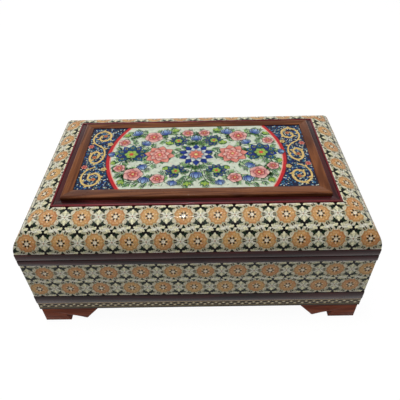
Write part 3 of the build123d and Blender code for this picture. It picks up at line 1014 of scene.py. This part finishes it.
def paintFields(paint, halfWidth, halfDepth):
    # The cream middle, the blue ends and the lines between them
    p = panel
    ys = [halfDepth * (step / 12 - 1) for step in range(25)]
    edges = {hand: [(hand * cartoucheX(y, halfDepth), y) for y in ys] for hand in (-1, 1)}
    paint.patch([edges[1], edges[-1]], ["cream"] * 2, layers["ground"])
    for hand in (-1, 1):
        paint.patch([[(hand * halfWidth, y) for y in ys], edges[hand]], ["navy"] * 2, layers["ground"])
        for inset, width, key, layer in p["cartoucheLines"]:
            path = [(hand * cartoucheX(y, halfDepth, inset), y) for y in ys]
            paint.ribbon(path, [width] * len(path), key, layer)


def paintScroll(paint, hand, x, y, radii, start, turnHand):
    # A gold spiral with petals along it and a small flower at its end
    p = panel
    length, width = p["scrollPetal"]
    path = spiralPoints(hand * x, y, radii, radians(start), hand * turnHand)
    last = len(path) - 1
    widths = [0.7 + 0.75 * sin(pi * min(0.96, i / last + 0.04)) for i in range(last + 1)]
    paint.ribbon(path, [width + 0.4 for width in widths], "goldDark", layers["scrolls"])
    paint.ribbon(path, widths, "gold", layers["scrolls"] + 1, "yellow")
    paint.ring(*path[-1], 1.6, 5, "coral", "gold", "goldDark", layers["scrollEyes"])
    for index in range(4, last - 7, 6):
        px, py = path[index]
        away = atan2(py - y, px - hand * x)
        turn = away + (pi if index % 12 > 5 else 0) + p["scrollLean"] * hand
        paint.petal(px, py, turn, length, width, "gold", "yellow", layers["scrollPetals"], "goldDark",
                    rim=0.2)


def paintEnds(paint, halfWidth, halfDepth):
    # Gold scrolls on blue ground with pale specks
    p, draw = panel, paint.random
    speckColours = ("cream", "sky", "teal", "cream", "cobalt", "teal")
    for hand in (-1, 1):
        for _ in range(p["specks"]):
            y = draw.uniform(-halfDepth + 0.7, halfDepth - 0.7)
            x = draw.uniform(cartoucheX(y, halfDepth) + 1.7, halfWidth - 0.6)
            speck = draw.choice(speckColours)
            facing, length = draw.uniform(0, tau), draw.uniform(0.9, 1.6)
            paint.stroke(hand * x, y, facing, length, 0.85, speck, layers["specks"])
        for scroll in p["scrolls"]:
            paintScroll(paint, hand, *scroll)
        top = layers["endFlowers"]
        for y in (-11.9, 11.9):
            paint.ring(hand * 74.3, y, 2.2, 6, "coral", "pink", "navy", top)
            paint.ring(hand * 61.0, y * 1.22, 2.0, 5, "gold", "yellow", "goldDark", top)


def paintLeaves(paint, halfDepth):
    # Pale marks that fill the ground, then vines with leafy sprays
    p, draw = panel, paint.random
    markColours = ("leafPale", "leafPale", "pinkPale", "leaf")
    for hand in (-1, 1):
        for _ in range(p["groundMarks"]):
            y = draw.uniform(-halfDepth + 2, halfDepth - 2)
            x = draw.uniform(0, cartoucheX(y, halfDepth) - 3.5)
            mark = draw.choice(markColours)
            facing, length = draw.uniform(0, tau), draw.uniform(1.5, 3.2)
            paint.stroke(hand * x, y, facing, length, 0.5, mark, layers["marks"])
        for vine in p["vines"]:
            path = curvePoints(*[(hand * x, y) for x, y in vine])
            paint.ribbon(path, [0.6] * len(path), "leaf", layers["vines"], "leafDark")
            for index in range(1, len(path) - 1, 4):
                (x, y), (nextX, nextY) = path[index], path[index + 1]
                if abs(x) > cartoucheX(y, halfDepth) - 6 or abs(y) > halfDepth - 5:
                    continue
                along = atan2(nextY - y, nextX - x)
                for lean in (0.9, -0.9):
                    paint.spray(x, y, along + lean, draw.uniform(4.5, 6.5), layers["sprays"])


def paintFlowers(paint):
    p, up = panel, pi / 2
    for hand in (-1, 1):
        for kind, places in p["motifs"]:
            for x, y, size, facing in places:
                if kind in ("fan", "rosette", "rose"):
                    mirrored = hand * facing
                else:
                    mirrored = facing if hand > 0 else 180 - facing
                getattr(paint, kind)(hand * x, y, size, radians(mirrored))
    top = paint.ring(0, 0, 11.8, 10, "navy", "cobalt", "navy", layers["flowers"], up, fullness=0.6)
    top = paint.ring(0, 0, 8.4, 10, "teal", "white", "navy", top, up + pi / 10, fullness=0.55)
    top = paint.ring(0, 0, 5.0, 8, "coral", "pink", "wine", top, up)
    paint.disc(0, 0, 1.5, "yellow", "goldDark", top + 1)
    paint.tulip(0, 17.5, 6.4, up)
    paint.tulip(0, -19.5, 6.4, -up)


def makePaintPiece(name, paint, height):
    mesh = bpy.data.meshes.new(name + "Work")
    mesh.from_pydata([(x * mm, y * mm, height + z * mm) for x, y, z in paint.points], [], paint.faces)
    channels = [channel for item in paint.colours for channel in item]
    mesh.attributes.new("paint", "FLOAT_COLOR", "POINT").data.foreach_set("color", channels)
    bm = bmesh.new()
    bm.from_mesh(mesh)
    for face in bm.faces:
        face.normal_update()
        if face.normal.z < 0:
            face.normal_flip()
    bm.to_mesh(mesh)
    bm.free()
    mesh.materials.append(paintMaterial)
    work = addObject(name + "Work", mesh)
    thicken(work, panel["thickness"])
    newPiece(name, meshFrom(work, name), "lid")


def makePanel():
    softCopy("panelBoard", "painted_panel", "lid", "painted_panel", wood["frameWood"],
             panel["boardEdge"], 0, panelSeed)
    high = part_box("painted_panel")[1]
    halfWidth, halfDepth = high.x / mm - panel["margin"], high.y / mm - panel["margin"]
    ground, leaves, flowers = Paint(), Paint(), Paint()
    paintFields(ground, halfWidth, halfDepth)
    paintEnds(ground, halfWidth, halfDepth)
    paintLeaves(leaves, halfDepth)
    paintFlowers(flowers)
    for name, paint in (("panelGround", ground), ("panelLeaves", leaves), ("panelFlowers", flowers)):
        makePaintPiece(name, paint, high.z)
    print("panel painted")


# Room, lamps and camera

studio = {
    "floorSize": 6.0, "floorColour": colour(218, 218, 218), "white": (1, 1, 1, 1), "glow": 1.07,
    "glowShare": 0.9, "ambient": 0.1,
    "lamps": [
        # place, aim, size and power
        ("keyLamp", (-0.2, 0.05, 1.4), (0, 0, 0.05), (1.2, 1.2), 13.2),
        ("glintLamp", (-0.066, 0.0, 1.08), (0, -0.05, 0.08), (0.1, 0.05), 1.6),
    ],
}
view = {
    "place": (0.00561, -0.23219, 0.25926), "pitch": 41.77, "yaw": -0.945, "roll": -1.639, "lens": 37.284,
    "sensor": 36,
}


def seesRoom(tree):
    path = addNode(tree, "ShaderNodeLightPath").outputs
    either = mathNode(tree, "MAXIMUM", path["Is Camera Ray"], path["Is Glossy Ray"])
    return mathNode(tree, "MAXIMUM", either, path["Is Transmission Ray"])


def makeFloor():
    half = studio["floorSize"] / 2
    mesh = bpy.data.meshes.new("floor")
    corners = [(-half, -half, 0), (half, -half, 0), (half, half, 0), (-half, half, 0)]
    mesh.from_pydata(corners, [], [(0, 1, 2, 3)])
    material, tree, shader = newMaterial("floor", 0.9, specular=0.1)
    shader.inputs["Base Color"].default_value = studio["floorColour"]
    glow = addNode(tree, "ShaderNodeEmission", {"Color": studio["white"], "Strength": studio["glow"]})
    share = mathNode(tree, "MULTIPLY", seesRoom(tree), studio["glowShare"])
    blend = addNode(tree, "ShaderNodeMixShader", {0: share, 1: shader.outputs[0], 2: glow.outputs[0]})
    tree.links.new(blend.outputs[0], tree.nodes["Material Output"].inputs["Surface"])
    mesh.materials.append(material)
    addObject("floor", mesh)


def makeWorld():
    world = bpy.data.worlds.new("studioWorld")
    bpy.context.scene.world = world
    world.use_nodes = True
    tree = world.node_tree
    strength = spread(tree, seesRoom(tree), 0.0, 1.0, studio["ambient"], 1.0)
    tree.links.new(strength, tree.nodes["Background"].inputs["Strength"])
    tree.nodes["Background"].inputs["Color"].default_value = studio["white"]


def makeLamps():
    for name, place, aim, size, power in studio["lamps"]:
        data = bpy.data.lights.new(name, "AREA")
        data.shape = "RECTANGLE"
        data.size, data.size_y = size
        data.energy = power
        light = addObject(name, data)
        light.location = place
        light.rotation_euler = (Vector(aim) - Vector(place)).to_track_quat("-Z", "Y").to_euler()


def makeCamera():
    data = bpy.data.cameras.new("camera")
    data.lens = view["lens"]
    data.sensor_width = view["sensor"]
    pitch, yaw, roll = (radians(view[key]) for key in ("pitch", "yaw", "roll"))
    forward = Vector((sin(yaw) * cos(pitch), cos(yaw) * cos(pitch), -sin(pitch)))
    right = Vector((cos(yaw), -sin(yaw), 0))
    up = right.cross(forward)
    turnedRight = right * cos(roll) + up * sin(roll)
    turnedUp = up * cos(roll) - right * sin(roll)
    turned = Matrix((turnedRight, turnedUp, -forward)).transposed().to_4x4()
    camera = addObject("camera", data)
    camera.matrix_world = Matrix.Translation(view["place"]) @ turned
    bpy.context.scene.camera = camera


makeWoodPieces()
dressHiddenWood()
makeFittings()
makeKhatam()
makeChain()
makePanel()
makeFloor()
makeWorld()
makeLamps()
makeCamera()
bpy.context.scene.view_settings.view_transform = "Standard"
print("scene ready")
